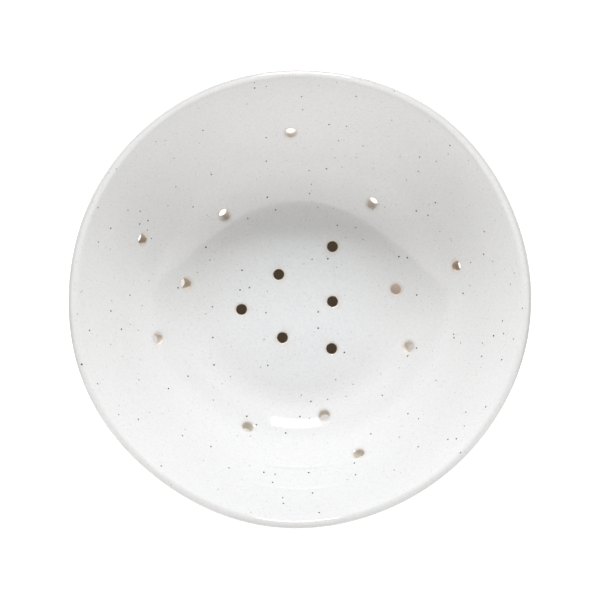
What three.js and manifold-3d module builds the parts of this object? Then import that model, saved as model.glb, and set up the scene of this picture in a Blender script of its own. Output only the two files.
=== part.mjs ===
// A stoneware colander: a wide bowl with a dished floor, a flared wall and a round lip, pierced by eighteen
// drain holes, standing on a low foot ring and coated with a thin white glaze.
// Millimetres, +Z up. The origin is the centre of the face that the foot ring stands on.
import * as THREE from 'three';
import { mergeVertices } from 'three/addons/utils/BufferGeometryUtils.js';
import Module from 'manifold-3d';

// Bowl
const RIM_DIAMETER = 230;
const HEIGHT = 70;
const CLAY_WALL = 3.8;
const LIP_ANGLE = 57; // degrees above level at which the wall meets the lip
const FLOOR_SWEEP = 18; // how far the level of the floor carries into the turn of the wall
const LIP_SWEEP = 50; // how far the lean of the lip carries down into the wall
const FLOOR_DISH = 1.9; // how far the middle of the inside floor is dished
const DISH_START = 28; // radius at which the dish begins to rise
const DISH_END = 62; // radius at which the dish has run out into the wall

// Glaze
const GLAZE_THICKNESS = 0.4;
const GLAZE_GAP = 0.1; // clearance between the glaze and the clay under it
const GLAZE_SETBACK = 0.3; // how far the glaze stands back from the foot and from each drain hole

// Foot
const FOOT_DIAMETER = 90;
const FOOT_WIDTH = 6;
const FOOT_HEIGHT = 7;
const FOOT_EDGE = 1.2; // softened edge beside the standing face
const FOOT_SHELF = 1.5; // level underside left outside the foot
const SLIP_THICKNESS = 0.6; // the slip that joins the foot to the bowl
const SLIP_INSET = 0.6; // how far the slip stays inside the foot's two edges

// Drain holes. A bearing is in degrees, counted from +X towards +Y.
const HOLE_DIAMETER = 5.6;
const HOLE_MARGIN = 2.2; // clay left between the foot and the nearest floor hole
// A floor hole's share runs from 0 at the centre to 1 at the edge of the field inside the foot.
const FLOOR_HOLES = [
  { bearing: 58, share: 0.96 },
  { bearing: 130, share: 0.5 },
  { bearing: 356, share: 0.51 },
  { bearing: 190, share: 0.91 },
  { bearing: 246, share: 0.65 },
  { bearing: 303, share: 0.91 },
];
// A wall hole's share runs from 0 at the edge of the floor to 1 at the lip, along the wall. Its lean is how
// far its lower end swings outwards from square to the wall, in degrees.
const WALL_HOLES = [
  { bearing: 6, share: 0.05, lean: 0 },
  { bearing: 12, share: 0.48, lean: 12 },
  { bearing: 53, share: 0.2, lean: 20 },
  { bearing: 93, share: 0.54, lean: -8 },
  { bearing: 131.5, share: 0.15, lean: 23 },
  { bearing: 159, share: 0.54, lean: 9 },
  { bearing: 172, share: 0.16, lean: 28 },
  { bearing: 195.5, share: 0.38, lean: 3 },
  { bearing: 248, share: 0.32, lean: 16 },
  { bearing: 282, share: 0.19, lean: 6 },
  { bearing: 291, share: 0.53, lean: 12 },
  { bearing: 336.5, share: 0.19, lean: 13 },
];

// The rim isn't a true circle. Each wave swells it outwards at its bearing and between lobes draws it in.
const RIM_WAVES = [
  { lobes: 1, swell: 0.48, bearing: 88 },
  { lobes: 2, swell: 0.73, bearing: 11.5 },
  { lobes: 3, swell: 0.18, bearing: 28 },
  { lobes: 5, swell: 0.3, bearing: 54 },
  { lobes: 7, swell: 0.17, bearing: 50 },
];
// The lip rises and dips as well.
const LIP_WAVES = [
  { lobes: 2, swell: 0.5, bearing: 70 },
  { lobes: 3, swell: 0.3, bearing: 15 },
];

// Fineness of the facets
const ROUND_STEPS = 48;
const FLOOR_STEPS = 4;
const WALL_STEPS = 8;
const LIP_STEPS = 6;
const HOLE_STEPS = 12;
const SAME_POINT = 1e-4; // points nearer than this are one point

// Sizes that follow
const glazeNear = CLAY_WALL / 2 + GLAZE_GAP;
const glazeFar = glazeNear + GLAZE_THICKNESS;
const footRadius = FOOT_DIAMETER / 2;
const footInnerRadius = footRadius - FOOT_WIDTH;
const floorRadius = footRadius + FOOT_SHELF;
const undersideLevel = FOOT_HEIGHT + SLIP_THICKNESS;
const floorLevel = undersideLevel + CLAY_WALL / 2;
const lipCentre = new THREE.Vector2(RIM_DIAMETER / 2 - glazeFar, HEIGHT - glazeFar);
const lipLean = THREE.MathUtils.degToRad(LIP_ANGLE);
const holeRadius = HOLE_DIAMETER / 2;
const glazeHoleRadius = holeRadius + GLAZE_SETBACK;
const fieldRadius = footInnerRadius - holeRadius - HOLE_MARGIN;
const cutterLength = 6 * glazeFar; // three whole walls, so that a cutter crosses with room to spare

// The middle line of the wall, in a plane through the axis: x is the radius and y is the height.
const wallLine = new THREE.CubicBezierCurve(
  new THREE.Vector2(floorRadius, floorLevel),
  new THREE.Vector2(floorRadius + FLOOR_SWEEP, floorLevel),
  new THREE.Vector2(Math.cos(lipLean), Math.sin(lipLean)).multiplyScalar(-LIP_SWEEP).add(lipCentre),
  lipCentre,
);

// The unit vector square to the wall's middle line, on the side of the bowl's inside.
function inwardNormal(share) {
  const along = wallLine.getTangentAt(share);
  return new THREE.Vector2(-along.y, along.x);
}

// How far the dish of the floor lowers the inside face.
function dishDepth(radius) {
  return FLOOR_DISH * (1 - THREE.MathUtils.smoothstep(radius, DISH_START, DISH_END));
}

// The outside face, from a radius on the level underside out to the lip, offset from the middle line.
function outsideLine(offset, startRadius) {
  const points = [new THREE.Vector2(startRadius, floorLevel - offset)];
  for (let step = 0; step <= WALL_STEPS; step += 1) {
    const share = step / WALL_STEPS;
    points.push(inwardNormal(share).multiplyScalar(-offset).add(wallLine.getPointAt(share)));
  }
  return points;
}

// The inside face, from the lip down to the axis, offset from the middle line and lowered by the dish.
function insideLine(offset) {
  const points = [];
  for (let step = WALL_STEPS; step >= 0; step -= 1) {
    const share = step / WALL_STEPS;
    points.push(inwardNormal(share).multiplyScalar(offset).add(wallLine.getPointAt(share)));
  }
  for (let step = FLOOR_STEPS - 1; step >= 0; step -= 1) {
    points.push(new THREE.Vector2((floorRadius * step) / FLOOR_STEPS, floorLevel + offset));
  }
  return points.map((point) => new THREE.Vector2(point.x, point.y - dishDepth(point.x)));
}

// The round end of the wall, from the outside face over the lip to the inside face, without its end points.
function lipArc(radius) {
  const points = [];
  for (let step = 1; step < LIP_STEPS; step += 1) {
    const angle = lipLean - Math.PI / 2 + (Math.PI * step) / LIP_STEPS;
    points.push(new THREE.Vector2(Math.cos(angle), Math.sin(angle)).multiplyScalar(radius).add(lipCentre));
  }
  return points;
}

// From the outside face over the lip and down the inside to the axis, at one distance from the middle line.
function wrapLine(distance, startRadius) {
  return [
    ...outsideLine(distance, startRadius),
    ...lipArc(distance),
    ...insideLine(distance),
  ];
}

function waveHeight(waves, bearing) {
  return waves.reduce((sum, wave) => {
    const turn = bearing - THREE.MathUtils.degToRad(wave.bearing);
    return sum + wave.swell * Math.cos(wave.lobes * turn);
  }, 0);
}

// Turns a profile about the Z axis.
function turned(profile) {
  return new THREE.LatheGeometry(profile, ROUND_STEPS).rotateX(Math.PI / 2);
}

// Moves the wall with the rim's waves: not at all at the floor's edge, and by their whole height at the
// lip.
function withRimWaves(geometry) {
  const place = geometry.getAttribute('position');
  for (let index = 0; index < place.count; index += 1) {
    const point = new THREE.Vector3().fromBufferAttribute(place, index);
    const radius = Math.hypot(point.x, point.y);
    const bearing = Math.atan2(point.y, point.x);
    const amount = THREE.MathUtils.smoothstep(radius, floorRadius, lipCentre.x);
    const swollen = 1 + (amount * waveHeight(RIM_WAVES, bearing)) / Math.max(radius, floorRadius);
    const rise = amount * waveHeight(LIP_WAVES, bearing);
    place.setXYZ(index, point.x * swollen, point.y * swollen, point.z + rise);
  }
  return geometry;
}

// A round cutter across the wall. However it leans, it enters at the hole's place on the inside face.
function wallCutter(hole, radius) {
  const square = inwardNormal(hole.share);
  const entry = square.clone().multiplyScalar(glazeFar).add(wallLine.getPointAt(hole.share));
  const leaning = square.rotateAround(new THREE.Vector2(), THREE.MathUtils.degToRad(hole.lean));
  const middle = leaning.clone().multiplyScalar(-glazeFar).add(entry);
  const around = new THREE.Vector3(0, 0, 1);
  const bearing = THREE.MathUtils.degToRad(hole.bearing);
  const axis = new THREE.Vector3(leaning.x, 0, leaning.y).applyAxisAngle(around, bearing);
  const centre = new THREE.Vector3(middle.x, 0, middle.y).applyAxisAngle(around, bearing);
  return cutter(axis, centre, radius);
}

// An upright round cutter through the floor.
function floorCutter(hole, radius) {
  const bearing = THREE.MathUtils.degToRad(hole.bearing);
  const reach = hole.share * fieldRadius;
  const centre = new THREE.Vector3(reach * Math.cos(bearing), reach * Math.sin(bearing), floorLevel);
  return cutter(new THREE.Vector3(0, 0, 1), centre, radius);
}

function cutter(axis, centre, radius) {
  const turn = new THREE.Quaternion().setFromUnitVectors(new THREE.Vector3(0, 1, 0), axis);
  return new THREE.CylinderGeometry(radius, radius, cutterLength, HOLE_STEPS)
    .applyQuaternion(turn)
    .translate(centre.x, centre.y, centre.z);
}

const wasm = await Module();
wasm.setup();

// A closed geometry as a solid that can be cut. Triangles that shrink to a line at the axis are left out.
function solidOf(geometry) {
  const bare = geometry.clone();
  bare.deleteAttribute('normal');
  bare.deleteAttribute('uv');
  const merged = mergeVertices(bare, SAME_POINT);
  const index = merged.getIndex().array;
  const triangles = [];
  for (let corner = 0; corner < index.length; corner += 3) {
    const [a, b, c] = index.slice(corner, corner + 3);
    if (a !== b && b !== c && c !== a) {
      triangles.push(a, b, c);
    }
  }
  return new wasm.Manifold(new wasm.Mesh({
    numProp: 3,
    vertProperties: new Float32Array(merged.getAttribute('position').array),
    triVerts: new Uint32Array(triangles),
  }));
}

function geometryOf(solid) {
  const mesh = solid.getMesh();
  const geometry = new THREE.BufferGeometry();
  geometry.setAttribute('position', new THREE.BufferAttribute(new Float32Array(mesh.vertProperties), 3));
  geometry.setIndex(new THREE.BufferAttribute(new Uint32Array(mesh.triVerts), 1));
  geometry.computeVertexNormals();
  return geometry;
}

// Pierces a bowl-shaped geometry at all drain holes.
function pierced(geometry, radius) {
  const cutters = [
    ...FLOOR_HOLES.map((hole) => floorCutter(hole, radius)),
    ...WALL_HOLES.map((hole) => wallCutter(hole, radius)),
  ];
  const whole = solidOf(geometry);
  return geometryOf(cutters.reduce((solid, tool) => solid.subtract(solidOf(tool)), whole));
}

// The fired clay body.
function clayBowl() {
  return pierced(withRimWaves(turned(wrapLine(CLAY_WALL / 2, 0))), holeRadius);
}

// The glaze runs from the foot up the outside, over the lip and over the whole inside.
function glazeCoat() {
  const glazeEdge = footRadius + GLAZE_SETBACK;
  const clayFace = wrapLine(glazeNear, glazeEdge).reverse();
  const openFace = wrapLine(glazeFar, glazeEdge);
  return pierced(withRimWaves(turned([...clayFace, ...openFace])), glazeHoleRadius);
}

// A ring about the axis, from a profile that is closed by repeating its first point.
function ring(corners) {
  const points = corners.map(([radius, height]) => new THREE.Vector2(radius, height));
  return turned([...points, points[0].clone()]);
}

function footRing() {
  return ring([
    [footInnerRadius + FOOT_EDGE, 0],
    [footRadius - FOOT_EDGE, 0],
    [footRadius, FOOT_EDGE],
    [footRadius, FOOT_HEIGHT],
    [footInnerRadius, FOOT_HEIGHT],
    [footInnerRadius, FOOT_EDGE],
  ]);
}

function joiningSlip() {
  return ring([
    [footInnerRadius + SLIP_INSET, FOOT_HEIGHT],
    [footRadius - SLIP_INSET, FOOT_HEIGHT],
    [footRadius - SLIP_INSET, undersideLevel],
    [footInnerRadius + SLIP_INSET, undersideLevel],
  ]);
}

const clay = new THREE.MeshStandardMaterial({ color: 0xc2a285, roughness: 0.85, metalness: 0 });
const slip = new THREE.MeshStandardMaterial({ color: 0xb7977a, roughness: 0.9, metalness: 0 });
const glaze = new THREE.MeshStandardMaterial({ color: 0xecebe7, roughness: 0.15, metalness: 0 });

const colander = new THREE.Group();

function addPiece(name, geometry, material) {
  const piece = new THREE.Mesh(geometry, material);
  piece.name = name;
  colander.add(piece);
}

addPiece('clay_bowl', clayBowl(), clay);
addPiece('glaze_coat', glazeCoat(), glaze);
addPiece('foot_ring', footRing(), clay);
addPiece('joining_slip', joiningSlip(), slip);

export default colander;
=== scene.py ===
# %% [markdown]
# # A speckled stoneware colander
#
# This lesson dresses a hand-made colander: a wide white bowl pierced by eighteen drain holes, seen from
# straight above. The real one is four things: a fired clay bowl, a clay foot ring, the slip that joins
# the two, and a thin coat of glaze over nearly all of it. We model each one, give it its finish and then
# light it as in a small studio.

# %% Open the measured frame
import math

import bpy
import numpy as np
from mathutils import Matrix, Vector, noise


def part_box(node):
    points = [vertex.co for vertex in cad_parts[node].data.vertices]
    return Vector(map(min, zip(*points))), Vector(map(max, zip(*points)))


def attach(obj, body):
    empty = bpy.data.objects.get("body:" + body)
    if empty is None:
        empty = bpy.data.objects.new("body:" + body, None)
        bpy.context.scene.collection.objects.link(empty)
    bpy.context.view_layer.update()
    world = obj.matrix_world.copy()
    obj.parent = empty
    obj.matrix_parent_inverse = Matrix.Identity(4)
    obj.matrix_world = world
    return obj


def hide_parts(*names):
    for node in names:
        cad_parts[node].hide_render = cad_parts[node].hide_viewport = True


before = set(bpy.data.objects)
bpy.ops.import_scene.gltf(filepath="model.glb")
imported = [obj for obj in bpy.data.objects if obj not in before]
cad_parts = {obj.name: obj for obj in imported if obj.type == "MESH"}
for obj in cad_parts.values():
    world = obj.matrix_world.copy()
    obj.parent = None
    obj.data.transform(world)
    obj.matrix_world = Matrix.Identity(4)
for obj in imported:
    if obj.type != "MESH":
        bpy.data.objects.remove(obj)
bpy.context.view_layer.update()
print("nodes to dress:", sorted(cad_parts))

# %% [markdown]
# ## The sizes that shape the bowl
#
# A bowl on a wheel is one line turned about an axis. Ours has a level floor, a soft turn and a wall that
# leans out to a round lip. The inside and the outside could be drawn as two lines, but then the wall
# would grow thick and thin with every change. We write one line, down the middle of the clay, and each
# face of the bowl is a copy of it pushed sideways by half a wall, or by half a wall and the glaze. The
# foot and the slip take their sizes from the frame.

# %% Sizes in metres
MM = 0.001
RIM_RADIUS = 115 * MM
HEIGHT = 70 * MM
CLAY_WALL = 3.8 * MM
GLAZE_GAP, GLAZE_BUILD = 0.02 * MM, 0.5 * MM
GLAZE_NEAR, GLAZE_FAR = CLAY_WALL / 2 + GLAZE_GAP, CLAY_WALL / 2 + GLAZE_BUILD
LIP_LEAN = math.radians(57)
FLOOR_SWEEP = 18 * MM
LIP_SWEEP = 50 * MM
FOOT_SHELF = 1.5 * MM

foot_low, foot_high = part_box("foot_ring")
slip_low, slip_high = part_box("joining_slip")
foot_radius = foot_high.x
floor_radius = foot_radius + FOOT_SHELF
floor_level = slip_high.z + CLAY_WALL / 2
lip_centre = Vector((RIM_RADIUS - GLAZE_FAR, HEIGHT - GLAZE_FAR))
print(f"floor radius {floor_radius / MM:.1f} mm, floor level {floor_level / MM:.1f} mm")

# %% The middle line of the wall
CURVE_STEPS = 400
lean = Vector((math.cos(LIP_LEAN), math.sin(LIP_LEAN)))
wall_handles = [
    Vector((floor_radius, floor_level)),
    Vector((floor_radius + FLOOR_SWEEP, floor_level)),
    lip_centre - LIP_SWEEP * lean,
    lip_centre,
]


def bezier(handles, t):
    """The place and the direction at t, from 0 to 1, on a cubic curve."""
    a, b, c, d = handles
    s = 1 - t
    place = s**3 * a + 3 * s * s * t * b + 3 * s * t * t * c + t**3 * d
    along = s * s * (b - a) + 2 * s * t * (c - b) + t * t * (d - c)
    return place, along.normalized()


wall_places = [bezier(wall_handles, step / CURVE_STEPS)[0] for step in range(CURVE_STEPS + 1)]
wall_walk = np.cumsum([0] + [(after - before).length for before, after in zip(wall_places, wall_places[1:])])
wall_length = float(wall_walk[-1])


def on_wall(share):
    """The place on the middle line and the inward normal, at a share from 0 at the floor to 1 at the lip."""
    t = np.interp(share * wall_length, wall_walk, np.linspace(0, 1, CURVE_STEPS + 1))
    place, along = bezier(wall_handles, float(t))
    return place, Vector((-along.y, along.x))


print(f"the wall is {wall_length / MM:.1f} mm long from the floor to the lip")

# %% [markdown]
# ## The lines of the faces
#
# Each face of the real bowl was shaped by a finger or a tool held against the turning clay. The outside
# of the floor is cut level, and the inside is left a little lower in the middle. Where a face carries
# some fine detail, its line gets more points there and nowhere else, which costs less than a fine mesh
# all over.

# %% Faces and lips as chains of points
FLOOR_DISH, DISH_START, DISH_END = 1.9 * MM, 28 * MM, 62 * MM
BAND_RINGS = 17
LEDGE_RINGS = 2


def smooth_step(value, low, high):
    t = np.clip((value - low) / (high - low), 0, 1)
    return t * t * (3 - 2 * t)


def dish_depth(radius):
    """How far the dish of the floor lowers the inside face."""
    return FLOOR_DISH * (1 - smooth_step(radius, DISH_START, DISH_END))


def wall_shares(rings, fine_bands):
    """Even steps up the wall from 0 to 1, with fine ones inside some bands of it."""
    shares = [share for share in np.linspace(0, 1, rings + 1)
              if not any(low < share < high for low, high in fine_bands)]
    for low, high in fine_bands:
        shares += list(np.linspace(low, high, BAND_RINGS))
    return sorted(shares)


def face_line(offset, start_radius, floor_rings, wall_rings, fine_bands=()):
    """One face of the bowl from the floor to the lip, pushed sideways from the middle line."""
    line = [Vector((radius, floor_level + offset))
            for radius in np.linspace(start_radius, floor_radius, floor_rings + 1)[:-1]]
    for share in wall_shares(wall_rings, fine_bands):
        place, inward = on_wall(float(share))
        line.append(place + offset * inward)
    if offset > 0:
        line = [point - Vector((0, dish_depth(point.x))) for point in line]
    return line


def lip_line(radius, steps):
    """The round end of the wall, from outside to inside, without its two ends."""
    angles = [LIP_LEAN - math.pi / 2 + math.pi * step / steps for step in range(1, steps)]
    return [lip_centre + radius * Vector((math.cos(angle), math.sin(angle))) for angle in angles]


def wrap_line(offset, start_radius, rings, fine_bands=()):
    """Up the outside, over the lip and down the inside, with counts of rings for floor, wall and lip."""
    floor_rings, wall_rings, lip_steps = rings
    outside_rings = LEDGE_RINGS if start_radius else floor_rings
    return (
        face_line(-offset, start_radius, outside_rings, wall_rings)
        + lip_line(offset, lip_steps)
        + face_line(offset, 0, floor_rings, wall_rings, fine_bands)[::-1]
    )


print(f"the floor is dished by {dish_depth(0) / MM:.1f} mm")

# %% [markdown]
# ## Turning a shape
#
# A potter's wheel turns the clay, and Blender turns a line. A Screw modifier could do it from a curve. We
# draw the half outline as a chain of points, one extrusion after another, and spin the chain about the
# axis, because that keeps each ring exactly where the line puts it. Where the chain touches the axis the
# spin leaves a stack of points, which we merge.

# %% Spin a line about the axis
TURN_STEPS = 240
MERGE_DISTANCE = 0.002 * MM


def start_fresh():
    bpy.ops.object.select_all(action="DESELECT")


def turned(name, line):
    """Draws the points of a line by extruding one point, and spins it about the Z axis."""
    start_fresh()
    bpy.ops.mesh.primitive_plane_add(size=MM)
    piece = bpy.context.object
    piece.name = piece.data.name = name
    bpy.ops.object.mode_set(mode="EDIT")
    bpy.ops.mesh.merge(type="CENTER")
    bpy.ops.transform.translate(value=(line[0].x, 0, line[0].y))
    for last, point in zip(line, line[1:]):
        bpy.ops.mesh.extrude_vertices_move(
            TRANSFORM_OT_translate={"value": (point.x - last.x, 0, point.y - last.y)})
    bpy.ops.mesh.select_all(action="SELECT")
    bpy.ops.mesh.spin(steps=TURN_STEPS, angle=2 * math.pi, center=(0, 0, 0), axis=(0, 0, 1))
    bpy.ops.mesh.select_all(action="SELECT")
    bpy.ops.mesh.remove_doubles(threshold=MERGE_DISTANCE)
    bpy.ops.mesh.normals_make_consistent(inside=False)
    bpy.ops.object.mode_set(mode="OBJECT")
    print(f"{name}: {len(line)} points turned into {len(piece.data.polygons)} faces")
    return piece


def points_of(piece):
    places = np.empty(len(piece.data.vertices) * 3)
    piece.data.vertices.foreach_get("co", places)
    return places.reshape(-1, 3)


def set_points(piece, places):
    piece.data.vertices.foreach_set("co", places.ravel())
    piece.data.update()


def facing(piece):
    """The way that the surface faces at each point."""
    faces = np.empty(len(piece.data.vertices) * 3)
    piece.data.vertices.foreach_get("normal", faces)
    return faces.reshape(-1, 3)


# %% [markdown]
# ## The hand in the shape
#
# Nothing thrown by hand is a true circle. The rim of this bowl is a little wider from left to right, with
# a few shallow flats. The wall also has the slow unevenness of a hand pressing clay and the faint rings
# of fingers that rise while the wheel turns. They make a reflection in the glaze wander. A bump in the
# finish could hint at them, but the outline would stay a circle, so we move the points themselves. All of
# it fades out towards the floor, so that the foot still stands flat.

# %% Waves of the rim, unevenness and finger rings
RIM_WAVES = [
    (1, 0.48 * MM, 88), (2, 0.73 * MM, 11.5), (3, 0.18 * MM, 28), (5, 0.3 * MM, 54), (7, 0.17 * MM, 50)]
LIP_WAVES = [(2, 0.5 * MM, 70), (3, 0.3 * MM, 15)]
UNEVEN_HEIGHT, UNEVEN_LENGTH = 0.20 * MM, 45 * MM
UNEVEN_START, UNEVEN_END = 0.8 * floor_radius, 1.4 * floor_radius
RING_HEIGHT, RING_PITCH = 0.045 * MM, 8.5 * MM
RING_WANDER, RING_PRESSURE = 2.5, 0.6


def wave_height(waves, bearing):
    """The sum of waves round the bowl, each with its number of lobes, its swell and the bearing of a peak."""
    return sum(swell * np.cos(lobes * (bearing - math.radians(peak))) for lobes, swell, peak in waves)


def clouds(places, length):
    """A slow random height, from about -0.5 to 0.5, at each place."""
    return np.array([noise.noise(Vector(place) / length) for place in places])


def hand_moved(places):
    """Where the potter's hand leaves each point of the true turned shape."""
    radius = np.hypot(places[:, 0], places[:, 1])
    bearing = np.arctan2(places[:, 1], places[:, 0])
    rise = smooth_step(radius, floor_radius, lip_centre.x)
    wall = smooth_step(radius, UNEVEN_START, UNEVEN_END)
    slow = clouds(places, UNEVEN_LENGTH)
    pressure = RING_PRESSURE + clouds(places, 2 * UNEVEN_LENGTH)
    rings = np.sin(2 * math.pi * radius / RING_PITCH + RING_WANDER * slow) * pressure
    outward = rise * wave_height(RIM_WAVES, bearing) + wall * (UNEVEN_HEIGHT * slow + RING_HEIGHT * rings)
    moved = places.copy()
    moved[:, :2] *= (1 + outward / np.maximum(radius, floor_radius))[:, None]
    moved[:, 2] += rise * wave_height(LIP_WAVES, bearing)
    return moved


rim_swell = wave_height(RIM_WAVES, np.linspace(0, 2 * math.pi, TURN_STEPS)) / MM
print(f"the rim runs from {rim_swell.min():.2f} to {rim_swell.max():.2f} mm outside a true circle")

# %% [markdown]
# ## Two finger ridges
#
# On the near wall two short ridges catch the light as thin lines. A finger that rested a moment longer
# left them. They are too narrow for the rings of the wall, so the face that shows them gets two fine
# bands of rings, and its points are lifted there.

# %% Ridges by distance from the axis and half length
RIDGES = [(86.4 * MM, 24 * MM), (96.6 * MM, 30 * MM)]
RIDGE_WIDTH, RIDGE_HEIGHT = 1.2 * MM, 0.2 * MM
RIDGE_CORE = 0.4
RIDGE_FRONT, RIDGE_BACK = -75 * MM, -60 * MM
BAND_MARGIN = 2.4 * MM
BAND_SEARCH = 201


def ridge_height(places):
    """How high the ridges stand, each one at its distance from the axis and fading out to both sides."""
    radius = np.hypot(places[:, 0], places[:, 1])
    most = np.zeros(len(places))
    for ring, half_length in RIDGES:
        across = 1 - smooth_step(np.abs(radius - ring), 0, RIDGE_WIDTH)
        along = 1 - smooth_step(np.abs(places[:, 0]), RIDGE_CORE * half_length, half_length)
        most = np.maximum(most, across * along)
    return RIDGE_HEIGHT * most * (1 - smooth_step(places[:, 1], RIDGE_FRONT, RIDGE_BACK))


def ridge_bands(offset):
    """The shares of the wall, on one face of it, that hold the ridges."""
    shares = np.linspace(0, 1, BAND_SEARCH)
    reach = [place.x + offset * inward.x for place, inward in map(on_wall, shares)]
    return [tuple(np.interp((ring - BAND_MARGIN, ring + BAND_MARGIN), reach, shares)) for ring, _ in RIDGES]


for low, high in ridge_bands(GLAZE_FAR):
    print(f"a ridge between {low:.2f} and {high:.2f} of the wall")

# %% [markdown]
# ## Where the drain holes are
#
# Six holes lie in the floor and twelve in the wall, in no pattern, as a hand places them. The potter
# pushes a punch through the soft wall, nearly square to it. Close to the foot there is less room for the
# hand, so the punch is held flatter there and the hole leans. We give each hole a bearing, a share of the
# floor or the wall and a lean. The places then follow the bowl when its line changes, which plain
# coordinates would not.

# %% Bearings, shares and leans
FLOOR_FIELD = 34.0 * MM
FLOOR_HOLES = [(58, 0.96), (130, 0.5), (356, 0.51), (190, 0.91), (246, 0.65), (303, 0.91)]
WALL_HOLES = [
    (6, 0.05, 0), (12, 0.48, 12), (53, 0.2, 20), (93, 0.54, -8), (131.5, 0.15, 23), (159, 0.54, 9),
    (172, 0.16, 28), (195.5, 0.38, 3), (248, 0.32, 16), (282, 0.19, 6), (291, 0.53, 12), (336.5, 0.19, 13),
]


def hole_places():
    """For each hole, a matrix from an upright punch to its place, and its sideways shift per length."""
    places = []
    for bearing, share in FLOOR_HOLES:
        turn = Matrix.Rotation(math.radians(bearing), 4, "Z")
        reach = share * FLOOR_FIELD
        places.append((turn @ Matrix.Translation((reach, 0, floor_level - dish_depth(reach))), 0.0))
    for bearing, share, lean_angle in WALL_HOLES:
        middle, inward = on_wall(share)
        turn = Matrix.Rotation(math.radians(bearing), 4, "Z")
        tilt = Matrix.Rotation(math.atan2(inward.x, inward.y), 4, "Y")
        square = turn @ Matrix.Translation((middle.x, 0, middle.y - dish_depth(middle.x))) @ tilt
        centre, axis = square.translation, square.col[2].xyz
        moved = Vector(hand_moved(np.array([centre]))[0])
        follow = Matrix.Translation((moved - centre).dot(axis) * axis)
        places.append((follow @ square, math.tan(math.radians(lean_angle))))
    return places


HOLES = hole_places()
print(f"{len(HOLES)} holes")

# %% [markdown]
# ## The punch
#
# After punching, a wet sponge wipes the edge of each hole round. A bevel on the cut edge could do that,
# but a bevel goes wrong where triangles meet it. We put the round edge into the punch instead: a circle
# is extruded and scaled step by step, shifting sideways for the lean and flaring at both ends. One
# Boolean then cuts all the holes, with a punch for the clay and a wider one for the glaze, which drew
# back from the edge.

# %% Outlines of the punches, as (growth, distance from the middle of the wall) in millimetres
CLAY_INSIDE = [
    (0, 0.5), (0, 1.5), (0.05, 1.68), (0.16, 1.82), (0.4, 1.93), (0.9, 2.02), (1.8, 2.4), (2.6, 3.0)]
CLAY_OUTSIDE = [
    (0, 0.5), (0, 1.7), (0.03, 1.82), (0.1, 1.9), (0.25, 1.97), (0.6, 2.04), (1.5, 2.4), (2.6, 3.0)]
GLAZE_INSIDE = [
    (0.04, 1.9), (0.09, 2.04), (0.22, 2.17), (0.45, 2.29), (0.8, 2.39), (1.3, 2.48), (2.2, 2.68), (3.4, 3.2)]
GLAZE_OUTSIDE = [
    (0.04, 1.9), (0.06, 2.1), (0.13, 2.24), (0.28, 2.34), (0.55, 2.42), (1.0, 2.5), (2.0, 2.7), (3.4, 3.2)]
HOLE_RADIUS = 2.8 * MM
PUNCH_SIDES = 40


def punch(inner, outer, slant):
    """A punch from the outlines of its two halves, shifting sideways by its slant."""
    outline = [(HOLE_RADIUS + grow * MM, -reach * MM) for grow, reach in outer[::-1]]
    outline += [(HOLE_RADIUS + grow * MM, reach * MM) for grow, reach in inner]
    start_fresh()
    bpy.ops.mesh.primitive_circle_add(vertices=PUNCH_SIDES, radius=outline[0][0], fill_type="NGON")
    tool = bpy.context.object
    bpy.ops.object.mode_set(mode="EDIT")
    bpy.ops.mesh.select_all(action="SELECT")
    bpy.ops.transform.translate(value=(slant * (GLAZE_FAR - outline[0][1]), 0, outline[0][1]))
    for (radius, reach), (next_radius, next_reach) in zip(outline, outline[1:]):
        step = next_reach - reach
        bpy.ops.mesh.extrude_region_move(TRANSFORM_OT_translate={"value": (-slant * step, 0, step)})
        size = next_radius / radius
        middle = (slant * (GLAZE_FAR - next_reach), 0, next_reach)
        bpy.ops.transform.resize(value=(size, size, 1), center_override=middle)
    bpy.ops.mesh.select_all(action="SELECT")
    bpy.ops.mesh.normals_make_consistent(inside=False)
    bpy.ops.object.mode_set(mode="OBJECT")
    return tool


print(f"the punch is {2 * HOLE_RADIUS / MM:.1f} mm across and has {PUNCH_SIDES} sides")

# %% Cutting the holes


def pierce(piece, inner, outer):
    """Cuts every drain hole in a piece."""
    tools = []
    for place, slant in HOLES:
        tools.append(punch(inner, outer, slant))
        tools[-1].matrix_world = place
    start_fresh()
    for tool in tools:
        tool.select_set(True)
    bpy.context.view_layer.objects.active = tools[0]
    bpy.ops.object.join()
    start_fresh()
    piece.select_set(True)
    bpy.context.view_layer.objects.active = piece
    cut = piece.modifiers.new("drain holes", "BOOLEAN")
    cut.operation = "DIFFERENCE"
    cut.solver = "MANIFOLD"
    cut.object = tools[0]
    bpy.ops.object.modifier_apply(modifier=cut.name)
    bpy.data.objects.remove(tools[0])
    print(f"{piece.name}: {len(piece.data.polygons)} faces after {len(HOLES)} holes")


# %% [markdown]
# ## The clay bowl
#
# The fired body is a closed turned shape. It shows only inside the holes and underneath, inside the foot,
# where there is no glaze. Patches of clay in those places would do for a picture, but it is made whole,
# because a piece that comes off the wheel is whole.

# %% Make the clay bowl
CLAY_RINGS = (24, 30, 8)
clay_bowl = turned("clay_bowl_fired", wrap_line(CLAY_WALL / 2, 0, CLAY_RINGS))
set_points(clay_bowl, hand_moved(points_of(clay_bowl)))
pierce(clay_bowl, CLAY_INSIDE, CLAY_OUTSIDE)

# %% [markdown]
# ## The glaze
#
# The glaze is glass half a millimetre thick. It could be a finish on the clay, but then it would have no
# edge at the holes and the foot. We turn it as a thin shell with two faces: a coarse one against the
# clay, which nobody sees, and a fine one outside. It ends in a rounded bead beside the foot, and the two
# finger ridges are lifted on its upper face.

# %% Make the glaze coat
GLAZE_EDGE, BEAD_BULGE = 0.5 * MM, 0.12 * MM
HIDDEN_RINGS, SHOWN_RINGS = (6, 24, 6), (12, 56, 12)


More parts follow.
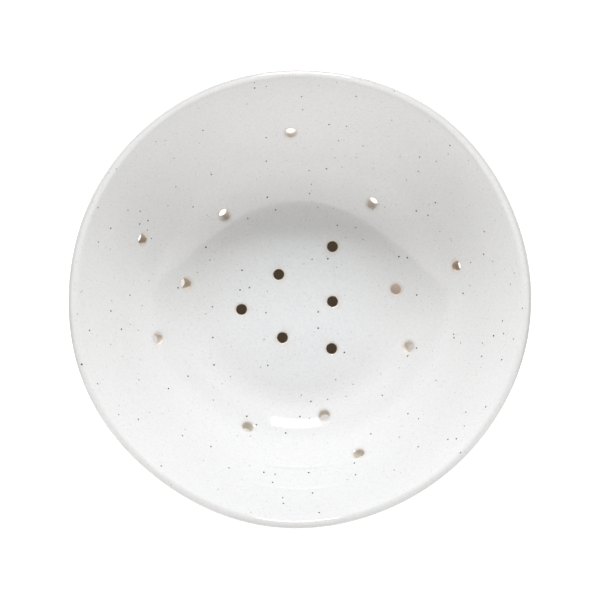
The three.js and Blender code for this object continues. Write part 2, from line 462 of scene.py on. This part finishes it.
def glaze_line():
    edge = foot_radius + GLAZE_EDGE
    hidden = wrap_line(GLAZE_NEAR, edge, HIDDEN_RINGS)[::-1]
    shown = wrap_line(GLAZE_FAR, edge, SHOWN_RINGS, ridge_bands(GLAZE_FAR))
    bead = [Vector((edge - BEAD_BULGE, floor_level - share * GLAZE_FAR - (1 - share) * GLAZE_NEAR))
            for share in (0.3, 0.7)]
    return hidden + bead + shown


glaze_coat = turned("glaze_coat_white", glaze_line())
set_points(glaze_coat, hand_moved(points_of(glaze_coat)))
upward = facing(glaze_coat)
lift = np.where(upward[:, 2] > 0, ridge_height(points_of(glaze_coat)), 0)
set_points(glaze_coat, points_of(glaze_coat) + lift[:, None] * upward)
print(f"finger ridges up to {lift.max() / MM:.2f} mm high")
pierce(glaze_coat, GLAZE_INSIDE, GLAZE_OUTSIDE)

# %% [markdown]
# ## The foot ring and its slip
#
# The foot is turned from the same clay and left bare so that it doesn't stick to the kiln shelf. Its
# edges are softened with a wet finger. Under the bowl, a bead of slip squeezed out as the ring was
# pressed on. Both could be a torus pressed flat. We turn a closed outline with rounded corners instead,
# because it keeps a flat face to stand on and another to join.

# %% Make the foot ring
FOOT_WIDTH = 6 * MM
FOOT_ROUND, FOOT_TOP_ROUND = 1.6 * MM, 0.3 * MM
ROUND_STEPS = 5


def rounded(corners, radius):
    """A closed outline through the corners, with each corner replaced by an arc."""
    line = []
    for index, corner in enumerate(corners):
        before = (corners[index - 1] - corner).normalized()
        after = (corners[(index + 1) % len(corners)] - corner).normalized()
        size = radius[index]
        for step in range(ROUND_STEPS + 1):
            t = step / ROUND_STEPS
            line.append(corner + size * ((1 - t) ** 2 * before + t * t * after))
    return line + [line[0]]


foot_inner = foot_radius - FOOT_WIDTH
foot_corners = [Vector(corner) for corner in (
    (foot_inner, 0), (foot_radius, 0), (foot_radius, foot_high.z), (foot_inner, foot_high.z))]
foot_rounds = [FOOT_ROUND, FOOT_ROUND, FOOT_TOP_ROUND, FOOT_TOP_ROUND]
foot_ring = turned("foot_ring_turned", rounded(foot_corners, foot_rounds))

# %% Make the slip bead
SLIP_BULGE, SLIP_ROUND = 0.35 * MM, 0.25 * MM
slip_outer, slip_inner = slip_high.x, foot_inner + (foot_radius - slip_high.x)
slip_corners = [Vector(corner) for corner in (
    (slip_inner - SLIP_BULGE, slip_low.z), (slip_outer + SLIP_BULGE, slip_low.z),
    (slip_outer + SLIP_BULGE, slip_high.z), (slip_inner - SLIP_BULGE, slip_high.z))]
slip_bead = turned("joining_slip_bead", rounded(slip_corners, [SLIP_ROUND] * len(slip_corners)))

# %% [markdown]
# ## Writing finishes as sums
#
# A finish is a graph of nodes, and most of them do plain arithmetic. Linked one by one they fill pages.
# This small class wraps an output socket, so that `1 - mask` or `specks * 0.4` in Python adds the Math
# node that does it. Any other node comes from one method that takes its type, its settings and its
# inputs.

# %% A small language for shader nodes


class Flow:
    """A value on its way through the nodes of a tree."""

    def __init__(self, nodes, socket):
        self.nodes = nodes
        self.socket = socket

    def other(self, output):
        """Another output of the node that this value comes from."""
        return Flow(self.nodes, self.socket.node.outputs[output])

    def math(self, operation, first, second):
        return self.nodes.add("ShaderNodeMath", {"operation": operation}, [first, second])

    def __add__(self, other):
        return self.math("ADD", self, other)

    def __radd__(self, other):
        return self.math("ADD", other, self)

    def __sub__(self, other):
        return self.math("SUBTRACT", self, other)

    def __rsub__(self, other):
        return self.math("SUBTRACT", other, self)

    def __mul__(self, other):
        return self.math("MULTIPLY", self, other)

    def __rmul__(self, other):
        return self.math("MULTIPLY", other, self)

    def __lt__(self, other):
        return self.math("LESS_THAN", self, other)

    def __or__(self, other):
        return self.math("MAXIMUM", self, other)


class Nodes:
    """A node tree, built up node by node."""

    def __init__(self, tree):
        self.tree = tree

    def put(self, socket, value):
        if isinstance(value, Flow):
            self.tree.links.new(value.socket, socket)
        else:
            socket.default_value = value

    def add(self, kind, settings, inputs, output=0):
        """Any node: its type, its settings, its inputs by name or in order, and the output that is wanted."""
        node = self.tree.nodes.new(kind)
        for name, value in settings.items():
            setattr(node, name, value)
        pairs = inputs.items() if isinstance(inputs, dict) else enumerate(inputs)
        for name, value in pairs:
            self.put(node.inputs[name], value)
        return Flow(self, node.outputs[output])

    def fade(self, value, start, end, low=0.0, high=1.0):
        """A smooth change from low at start to high at end."""
        settings = {"interpolation_type": "SMOOTHSTEP"}
        return self.add("ShaderNodeMapRange", settings, [value, start, end, low, high])

    def mix(self, amount, first, second):
        """Two colours mixed."""
        settings = {"data_type": "RGBA", "clamp_factor": True}
        return self.add("ShaderNodeMix", settings, {0: amount, 6: first, 7: second}, 2)


# %% A finish and how a piece wears it


class Finish(Nodes):
    """The nodes of a material."""

    def __init__(self, name):
        self.material = bpy.data.materials.new(name)
        self.material.use_nodes = True
        super().__init__(self.material.node_tree)
        self.shader = self.tree.nodes["Principled BSDF"]
        self.coords = self.add("ShaderNodeTexCoord", {}, {}, "Object")

    def cloud(self, scale, detail=2.0, roughness=0.5):
        return self.add("ShaderNodeTexNoise", {}, {
            "Vector": self.coords, "Scale": scale, "Detail": detail, "Roughness": roughness})

    def attribute(self, name):
        return self.add("ShaderNodeAttribute", {"attribute_name": name}, {}, "Fac")

    def set(self, **inputs):
        for name, value in inputs.items():
            self.put(self.shader.inputs[name.replace("_", " ")], value)

    def bump(self, height, distance):
        return self.add("ShaderNodeBump", {}, {"Height": height, "Distance": distance}, "Normal")


SMOOTH_ANGLE = math.radians(50)


def dress(piece, finish, node):
    """Gives a piece its finish, hangs it under the root body, and hides the CAD node that it stands for."""
    piece.data.materials.clear()
    piece.data.materials.append(finish.material)
    start_fresh()
    piece.select_set(True)
    bpy.context.view_layer.objects.active = piece
    bpy.ops.object.shade_smooth_by_angle(angle=SMOOTH_ANGLE)
    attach(piece, "root")
    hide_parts(node)
    print(f"{piece.name} wears {finish.material.name}, {len(finish.tree.nodes)} nodes")


# %% [markdown]
# ## Where the glaze runs thin, and where shade is painted on the lip
#
# Molten glaze pulls away from edges, so round each hole the buff clay warms it. Some of it also ran into
# the holes and coats their sides, most of all high up, and left a tongue of bare brown clay on the low
# side. The outer shoulder of the lip is painted a darker grey, on the far side and the left and right more
# than at the front, and on the far side a little way inside as well: this grey is painted shade. These
# places could be painted by hand. We work them out from the shape and keep them as values on the points,
# so that they stay right when the shape changes.

# %% Thin and bare places at the holes
THIN_START, THIN_END = 0.1 * MM, 1.9 * MM
COAT_START, COAT_END = 0.5 * MM, 1.5 * MM
BARE_IN_WALL = [0.2, 0.9, 0.4, 0.1, 0.5, 0.85, 0.8, 0.6, 0.0, 0.15, 0.0, 0.35]
BARE_REACH = 0.5 * MM
TONGUE_START, TONGUE_SPREAD, TONGUE_SOFT = 12, 24, 12


def seen_from_hole(points, place, slant):
    """How far each point is up the wall and along it from a hole's axis, and how deep below the inside."""
    local = np.c_[points, np.ones(len(points))] @ np.array(place.inverted()).T
    depth = GLAZE_FAR - local[:, 2]
    return local[:, 0] - slant * depth, local[:, 1], depth


def near_holes(points, holes, start, end):
    """1 up to one distance from the edge of a hole, falling to 0 at another."""
    most = np.zeros(len(points))
    for place, slant in holes:
        up, along, depth = seen_from_hole(points, place, slant)
        edge = np.hypot(up, along) - HOLE_RADIUS
        in_wall = (depth > -GLAZE_FAR) & (depth < 3 * GLAZE_FAR)
        most = np.maximum(most, np.where(in_wall, 1 - smooth_step(edge, start, end), 0))
    return most


def bare_tongues(points):
    """How bare the side of each hole is: all of it in the floor, and a widening tongue below in the wall."""
    most = np.zeros(len(points))
    amounts = [1.0] * len(FLOOR_HOLES) + BARE_IN_WALL
    for number, ((place, slant), amount) in enumerate(zip(HOLES, amounts)):
        up, along, depth = seen_from_hole(points, place, slant)
        turn = np.degrees(np.arctan2(np.abs(along), -up))
        reach = 180 if number < len(FLOOR_HOLES) else TONGUE_START + TONGUE_SPREAD * depth / MM
        in_hole = np.hypot(up, along) < HOLE_RADIUS + BARE_REACH
        in_hole &= np.abs(depth - GLAZE_FAR) < 2 * GLAZE_FAR
        bareness = amount * smooth_step(reach - turn, -TONGUE_SOFT, TONGUE_SOFT)
        most = np.maximum(most, np.where(in_hole, bareness, 0))
    return most


def keep_values(piece, name, values):
    layer = piece.data.attributes.new(name, "FLOAT", "POINT")
    layer.data.foreach_set("value", values.astype(np.float32))
    print(f"{piece.name}: {name} on {np.count_nonzero(values)} of {len(values)} points")


wall_holes = HOLES[len(FLOOR_HOLES):]
keep_values(glaze_coat, "thin", near_holes(points_of(glaze_coat), HOLES, THIN_START, THIN_END))
keep_values(clay_bowl, "coated", near_holes(points_of(clay_bowl), wall_holes, COAT_START, COAT_END))
keep_values(clay_bowl, "bare", bare_tongues(points_of(clay_bowl)))

# %% Painted shade over the lip, by the rise of the surface in degrees and by how far north a point lies
LIP_START = 0.85 * RIM_RADIUS
SHOULDER_LOW, SHOULDER_HIGH, SHOULDER_NORTH = (-45, -15), (40, 88), (-0.6, -0.1)
BROW_RADIUS, BROW_RISE, BROW_NORTH = (102 * MM, 110 * MM), (30, 90), (0.6, 0.95)
BROW_AMOUNT = 0.11


def painted_lip_shade(piece):
    """How much painted shade lies on the outer shoulder of the lip, and on its brow just inside the far lip.
    """
    places, faces = points_of(piece), facing(piece)
    radius = np.hypot(places[:, 0], places[:, 1])
    outward = (faces[:, :2] * places[:, :2]).sum(axis=1) / np.maximum(radius, MM)
    northing = places[:, 1] / np.maximum(radius, MM)
    rise = np.degrees(np.arctan2(faces[:, 2], outward))
    shoulder = smooth_step(rise, *SHOULDER_LOW) * (1 - smooth_step(rise, *SHOULDER_HIGH))
    shoulder = shoulder * smooth_step(northing, *SHOULDER_NORTH)
    brow = smooth_step(radius, *BROW_RADIUS) * smooth_step(rise, *BROW_RISE)
    brow = brow * smooth_step(northing, *BROW_NORTH)
    return np.where(radius > LIP_START, np.maximum(shoulder, BROW_AMOUNT * brow), 0)


# The values named lip hold how much painted shade the lip gets.
keep_values(glaze_coat, "lip", painted_lip_shade(glaze_coat))

# %% [markdown]
# ## The white glaze
#
# It is a glossy off-white, finely mottled, with iron specks that burned through from the clay. On the
# floor it is a touch bluer, a painted cool tint for the cooler light that falls there. Sharp dark specks
# lie at the surface, and many faint ones lie deeper. Hundreds of small discs could be laid on the bowl.
# A cloud of cells in space, with a dot in some of the cells, needs no mesh and runs on over every edge.
# A slight bump gives the gloss its orange peel.

# %% Colours and sizes of the glaze
COOL_WHITE, WARM_WHITE = (0.836, 0.842, 0.842, 1), (0.846, 0.842, 0.838, 1)
FLOOR_PAINTED_COOL_WHITE, MOTTLED_WHITE = (0.826, 0.845, 0.854, 1), (0.882, 0.884, 0.882, 1)
DEEP_IRON, FINE_IRON = (0.36, 0.31, 0.25, 1), (0.20, 0.17, 0.14, 1)
BROWN_IRON, BLACK_IRON = (0.42, 0.27, 0.14, 1), (0.028, 0.019, 0.013, 1)
# The colour for the lip is painted shade, a grey that darkens it.
THIN_AT_HOLES, LIP_PAINTED_SHADE = (0.70, 0.55, 0.42, 1), (0.52, 0.512, 0.495, 1)
COOL_TINT_OUTER, COOL_TINT_INNER = 48 * MM, 26 * MM
TONE_SCALE, MOTTLE_SCALE, PEEL_SCALE = 22, 850, 160
MOTTLE_RANGE, MOTTLE_AMOUNT = (0.38, 0.62), 0.8
PEEL_HEIGHT = 0.02 * MM
GLAZE_ROUGHNESS, GLAZE_IOR = 0.07, 1.6


def specks(finish, cell, size, soft, keep, least=0.35):
    """Dots of up to one size, one to a cell, in the given share of the cells."""
    settings = {"feature": "F1", "distance": "EUCLIDEAN"}
    inputs = {"Vector": finish.coords, "Scale": 1 / cell, "Randomness": 1.0}
    from_dot = finish.add("ShaderNodeTexVoronoi", settings, inputs, "Distance")
    lot = finish.add("ShaderNodeSeparateColor", {}, [from_dot.other("Color")])
    reach = (least + (1 - least) * lot.other("Green")) * (size / cell)
    return finish.fade(from_dot, reach, reach * (1 - soft)) * (lot < keep)


# %% Glaze finish
glaze = Finish("white_speckled_glaze")
flat = glaze.add("ShaderNodeVectorMath", {"operation": "MULTIPLY"}, [glaze.coords, (1, 1, 0)])
from_axis = glaze.add("ShaderNodeVectorMath", {"operation": "LENGTH"}, [flat], "Value")
mottle = glaze.fade(glaze.cloud(MOTTLE_SCALE, 3), *MOTTLE_RANGE)
white = glaze.mix(glaze.cloud(TONE_SCALE, 3), COOL_WHITE, WARM_WHITE)
# Painted cool tint: the floor is a touch bluer, standing in for the cooler light that falls there.
white = glaze.mix(glaze.fade(from_axis, COOL_TINT_OUTER, COOL_TINT_INNER), white, FLOOR_PAINTED_COOL_WHITE)
white = glaze.mix(mottle * MOTTLE_AMOUNT, white, MOTTLED_WHITE)
deep = specks(glaze, cell=2.6 * MM, size=0.65 * MM, soft=0.9, keep=0.75)
fine = specks(glaze, cell=1.9 * MM, size=0.3 * MM, soft=0.4, keep=0.85)
brown = specks(glaze, cell=7 * MM, size=0.6 * MM, soft=0.5, keep=0.55)
dark = specks(glaze, cell=4.6 * MM, size=0.5 * MM, soft=0.08, keep=0.44, least=0.8)
colour = glaze.mix(deep * 0.25, white, DEEP_IRON)
colour = glaze.mix(fine * 0.5, colour, FINE_IRON)
colour = glaze.mix(brown * 0.6, colour, BROWN_IRON)
colour = glaze.mix(dark, colour, BLACK_IRON)
colour = glaze.mix(glaze.attribute("thin") * 0.35, colour, THIN_AT_HOLES)
# Painted shade: the lip is greyed on its outer shoulder and just inside the far lip.
colour = glaze.mix(glaze.attribute("lip") * 0.9, colour, LIP_PAINTED_SHADE)
glaze.set(Base_Color=colour, Roughness=GLAZE_ROUGHNESS, IOR=GLAZE_IOR)
glaze.set(Normal=glaze.bump(glaze.cloud(PEEL_SCALE, 2), PEEL_HEIGHT))
dress(glaze_coat, glaze, "glaze_coat")

# %% [markdown]
# ## The bare clay
#
# Buff stoneware fires to a warm tan with darker grains of iron, and it is matt. In the wall's holes the
# glaze that ran in leaves it paler and smoother, apart from the bare tongues, which are a darker brown. A
# plain tan would look like plastic, so two clouds vary it, one in blotches and one as fine as the grain,
# and the grain also roughens the surface.

# %% Clay finish
BUFF_DARK, BUFF_PALE = (0.46, 0.33, 0.23, 1), (0.56, 0.42, 0.30, 1)
GRAIN_BROWN, IRON_GRAIN = (0.22, 0.14, 0.09, 1), (0.06, 0.045, 0.035, 1)
COATED_CLAY, BARE_CLAY = (0.93, 0.87, 0.78, 1), (0.36, 0.27, 0.19, 1)
GRAIN_SCALE, BLOTCH_SCALE = 900, 45
GRAIN_RANGE = (0.62, 0.75)
GRAIN_HEIGHT = 0.08 * MM
clay = Finish("buff_stoneware")
grain = clay.cloud(GRAIN_SCALE, 4, 0.6)
coated, bare = clay.attribute("coated"), clay.attribute("bare")
body = clay.mix(clay.cloud(BLOTCH_SCALE, 3), BUFF_DARK, BUFF_PALE)
body = clay.mix(clay.fade(grain, *GRAIN_RANGE) * 0.4, body, GRAIN_BROWN)
iron = specks(clay, cell=5 * MM, size=0.5 * MM, soft=0.5, keep=0.9)
body = clay.mix(iron * 0.8, body, IRON_GRAIN)
body = clay.mix(coated, body, COATED_CLAY)
body = clay.mix(bare, body, BARE_CLAY)
clay.set(Base_Color=body, Roughness=0.62 + 0.25 * grain - 0.35 * coated)
clay.set(Normal=clay.bump(grain, GRAIN_HEIGHT))
dress(clay_bowl, clay, "clay_bowl")
dress(foot_ring, clay, "foot_ring")

# %% [markdown]
# ## The slip
#
# Slip is the same clay let down with water and sieved. It could share the clay's finish, but it has no
# grains of iron and fires a shade darker, so it gets a short one of its own.

# %% Slip finish
SLIP_DARK, SLIP_PALE = (0.38, 0.26, 0.18, 1), (0.52, 0.39, 0.28, 1)
SLIP_GRAIN_SCALE, SLIP_GRAIN_HEIGHT = 700, 0.1 * MM
slip = Finish("joining_slip_clay")
slip_grain = slip.cloud(SLIP_GRAIN_SCALE, 3)
slip.set(Base_Color=slip.mix(slip_grain, SLIP_DARK, SLIP_PALE), Roughness=0.85)
slip.set(Normal=slip.bump(slip_grain, SLIP_GRAIN_HEIGHT))
dress(slip_bead, slip, "joining_slip")

# %% [markdown]
# ## Floor and backdrop
#
# The photograph's ground is plain white paper. It takes light and shade as any paper does, and to the
# camera, and to anything that mirrors it, it also glows, which lifts all but the deepest shade to white.
# More light would do the same and burn out the bowl. Under the bowl the glow is painted light: full on
# the side toward the lamp and held back on the side away from it. Close to the foot the paper's own
# colour is painted a darker warm brown, painted shade and painted light bounced from the clay, and the
# glow there is warm too. Inside the foot the glow is only a painted brown, for light that has bounced
# about between paper and clay. Without that, every hole would look onto bright paper.

# %% White ground
GROUND_SIZE, GROUND_GAP = 6, 0.02 * MM
GROUND_GLOW, FRONT_GLOW = 0.56, 0.2
PAPER_WHITE, PAPER_PAINTED_SHADE_BY_FOOT = (0.86, 0.86, 0.86, 1), (0.46, 0.36, 0.30, 1)
GLOW_WHITE, GLOW_PAINTED_BOUNCE_BY_FOOT, GLOW_PAINTED_BOUNCE_IN_FOOT = (1, 1, 1, 1), (0.80, 0.70, 0.62, 1), (0.055, 0.040, 0.027, 1)
NO_GLOW = (0, 0, 0, 1)
RIM_EDGE = (0.85 * RIM_RADIUS, 0.97 * RIM_RADIUS)
FOOT_EDGE = (1.03 * foot_radius, 1.1 * foot_radius)
WARMTH_EDGE = (1.18 * foot_radius, 1.28 * foot_radius)
SHADE_EDGE = (-5 * MM, 20 * MM)
start_fresh()
bpy.ops.mesh.primitive_plane_add(size=GROUND_SIZE, location=(0, 0, foot_low.z - GROUND_GAP))
ground = bpy.context.object
ground.name = "white_ground"
paper = Finish("white_paper")
away = paper.add("ShaderNodeVectorMath", {"operation": "LENGTH"}, [paper.coords], "Value")
north = paper.add("ShaderNodeSeparateXYZ", {}, [paper.coords], "Y")
past_rim = paper.fade(away, *RIM_EDGE)
past_foot = paper.fade(away, *FOOT_EDGE)
past_warmth = paper.fade(away, *WARMTH_EDGE)
# Painted light under the bowl: the glow is full on the side toward the lamp and weaker on the side away from
# it.
behind = paper.fade(north, *SHADE_EDGE, FRONT_GLOW, 1.0)
glow = (past_rim | past_foot * behind) * GROUND_GLOW
camera_ray = paper.add("ShaderNodeLightPath", {}, {}, "Is Camera Ray")
seen = camera_ray + camera_ray.other("Is Glossy Ray") + camera_ray.other("Is Transmission Ray")
# Painted bounced light: the glow is warm close to the foot and only a dim brown inside it.
shine = paper.mix(glow, GLOW_PAINTED_BOUNCE_IN_FOOT, paper.mix(past_warmth, GLOW_PAINTED_BOUNCE_BY_FOOT, GLOW_WHITE))
# Painted shade: close to the foot the paper itself is a darker warm brown.
paper.set(Base_Color=paper.mix(past_warmth, PAPER_PAINTED_SHADE_BY_FOOT, PAPER_WHITE))
paper.set(Roughness=0.9, Specular_IOR_Level=0.0)
paper.set(Emission_Color=paper.mix(seen, NO_GLOW, shine), Emission_Strength=1.0)
ground.data.materials.append(paper.material)
print(f"{ground.name}: {GROUND_SIZE} m of paper, {len(paper.tree.nodes)} nodes")

# %% [markdown]
# ## The lamps
#
# A strong soft box stands low behind the bowl, at the top of the picture. It lights the near wall from
# inside and leaves the far wall and half of the floor in the shade of the rim. Small low cards at the
# sides light the rim. One lamp could be the whole soft box, but its mirror image would be a broad patch.
# We split it in two and hide its bright upper strip from reflections, and the cards too, which keeps the
# streak in the glaze narrow and the rim calm.

# %% Studio lamps
BOWL_MIDDLE = Vector((0, 0, 30 * MM))
COOL, PLAIN = (0.996, 1.0, 1.012), (1.0, 1.0, 1.0)
KEY_BEARING, KEY_DISTANCE, KEY_WIDTH = 89, 2.0, 0.65
KEY_HEIGHT, UPPER_HEIGHT = 0.30, 0.12
CARD_DISTANCE, CARD_HEIGHT, CARD_SIZE = 1.5, 0.135, (0.6, 0.27)


def lamp(name, place, aim, size, brightness, mirrored, colour):
    """An area lamp as bright as some number of sheets of white paper, which the glaze mirrors or doesn't."""
    start_fresh()
    bpy.ops.object.light_add(type="AREA", location=place)
    light = bpy.context.object
    light.name = name
    light.data.shape = "RECTANGLE"
    light.data.size, light.data.size_y = size
    light.data.energy = brightness * math.pi * size[0] * size[1]
    light.data.color = colour
    light.rotation_euler = (Vector(aim) - Vector(place)).to_track_quat("-Z", "Y").to_euler()
    light.visible_glossy = mirrored
    print(f"{name}: {light.data.energy:.1f} W")


def behind_bowl(rise):
    """A place on the soft box, by its height in degrees as seen from the middle of the bowl."""
    b, r = math.radians(KEY_BEARING), math.radians(rise)
    toward = Vector((math.cos(r) * math.cos(b), math.cos(r) * math.sin(b), math.sin(r)))
    return BOWL_MIDDLE + KEY_DISTANCE * toward


key_place, upper_place = behind_bowl(rise=30.3), behind_bowl(rise=36.3)
lamp("back_key", key_place, BOWL_MIDDLE, (KEY_WIDTH, KEY_HEIGHT), brightness=36.0, mirrored=True, colour=COOL)
lamp("back_key_upper", upper_place, BOWL_MIDDLE, (KEY_WIDTH, UPPER_HEIGHT),
     brightness=54.0, mirrored=False, colour=COOL)
for side, name, brightness in ((-1, "left_card", 12.0), (1, "right_card", 9.0)):
    card_place = (CARD_DISTANCE * side, 0, CARD_HEIGHT)
    lamp(name, card_place, (0, 0, CARD_HEIGHT), CARD_SIZE, brightness, mirrored=False, colour=PLAIN)

# %% [markdown]
# ## The white sheet and the room
#
# A great white sheet above and in front opens the shade, and its near edge draws the clean arc where the
# floor turns into the far wall. Some light from the soft box also spills on whatever is high behind it.
# Both could be lamps, but the edges of a lamp show in the glaze. As parts of the world they are bands of
# directions, as soft or as sharp at the edge as each needs.

# %% Sheet, ceiling and spill as parts of the world
ROOM_BRIGHTNESS, CEILING_BRIGHTNESS, SHEET_BRIGHTNESS, SPILL_BRIGHTNESS = 0.05, 0.125, 1.25, 0.58
ROOM_COLOUR = (1.012, 1.0, 0.984, 1)
SHEET_EDGE, SHEET_SOFT, CEILING_SOFT = 0.46, 0.012, 0.15
SHEET_FOOT = (0.12, 0.30)
SPILL_FOOT, SPILL_TOP, SPILL_SIDE = (0.48, 0.62), (0.84, 0.68), (-0.2, -0.6)
world = bpy.data.worlds.new("soft_room")
bpy.context.scene.world = world
world.use_nodes = True
room = Nodes(world.node_tree)
toward = room.add("ShaderNodeTexCoord", {}, {}, "Generated")
ahead = 0 - room.add("ShaderNodeSeparateXYZ", {}, [toward], "Y")
up = room.add("ShaderNodeSeparateXYZ", {}, [toward], "Z")
ceiling = room.fade(ahead, -CEILING_SOFT, CEILING_SOFT)
sheet = room.fade(ahead - SHEET_EDGE * up, -SHEET_SOFT, SHEET_SOFT)
above = (ceiling * CEILING_BRIGHTNESS + sheet * SHEET_BRIGHTNESS) * room.fade(up, *SHEET_FOOT)
high_band = room.fade(up, *SPILL_FOOT) * room.fade(up, *SPILL_TOP)
spill = high_band * room.fade(ahead, *SPILL_SIDE) * SPILL_BRIGHTNESS
background = world.node_tree.nodes["Background"]
room.put(background.inputs["Color"], ROOM_COLOUR)
room.put(background.inputs["Strength"], above + spill + ROOM_BRIGHTNESS)
print(f"{world.name}: {len(room.tree.nodes)} nodes")

# %% [markdown]
# ## Camera
#
# The camera looks straight down from a little over a metre above the rim, far enough that the rim hides
# the outside of the bowl. Its lens could be set by eye. We work it out from the size that the rim has in
# the photograph, so that the two pictures lie on each other.

# %% Overhead camera
CAMERA_HEIGHT = 1.1
CAMERA_EAST, CAMERA_NORTH = 0.25 * MM, -0.4 * MM
CAMERA_REACH = 10
PIXELS, PIXELS_PER_METRE = 600, 2004
SENSOR_MM = 36
camera_data = bpy.data.cameras.new("overhead")
camera = bpy.data.objects.new("overhead", camera_data)
bpy.context.scene.collection.objects.link(camera)
camera.location = (CAMERA_EAST, CAMERA_NORTH, lip_centre.y + CAMERA_HEIGHT)
camera_data.sensor_width = SENSOR_MM
camera_data.lens = SENSOR_MM * CAMERA_HEIGHT * PIXELS_PER_METRE / PIXELS
camera_data.clip_end = CAMERA_REACH
bpy.context.scene.camera = camera
bpy.context.scene.view_settings.view_transform = "Standard"
print(f"lens {camera_data.lens:.1f} mm")
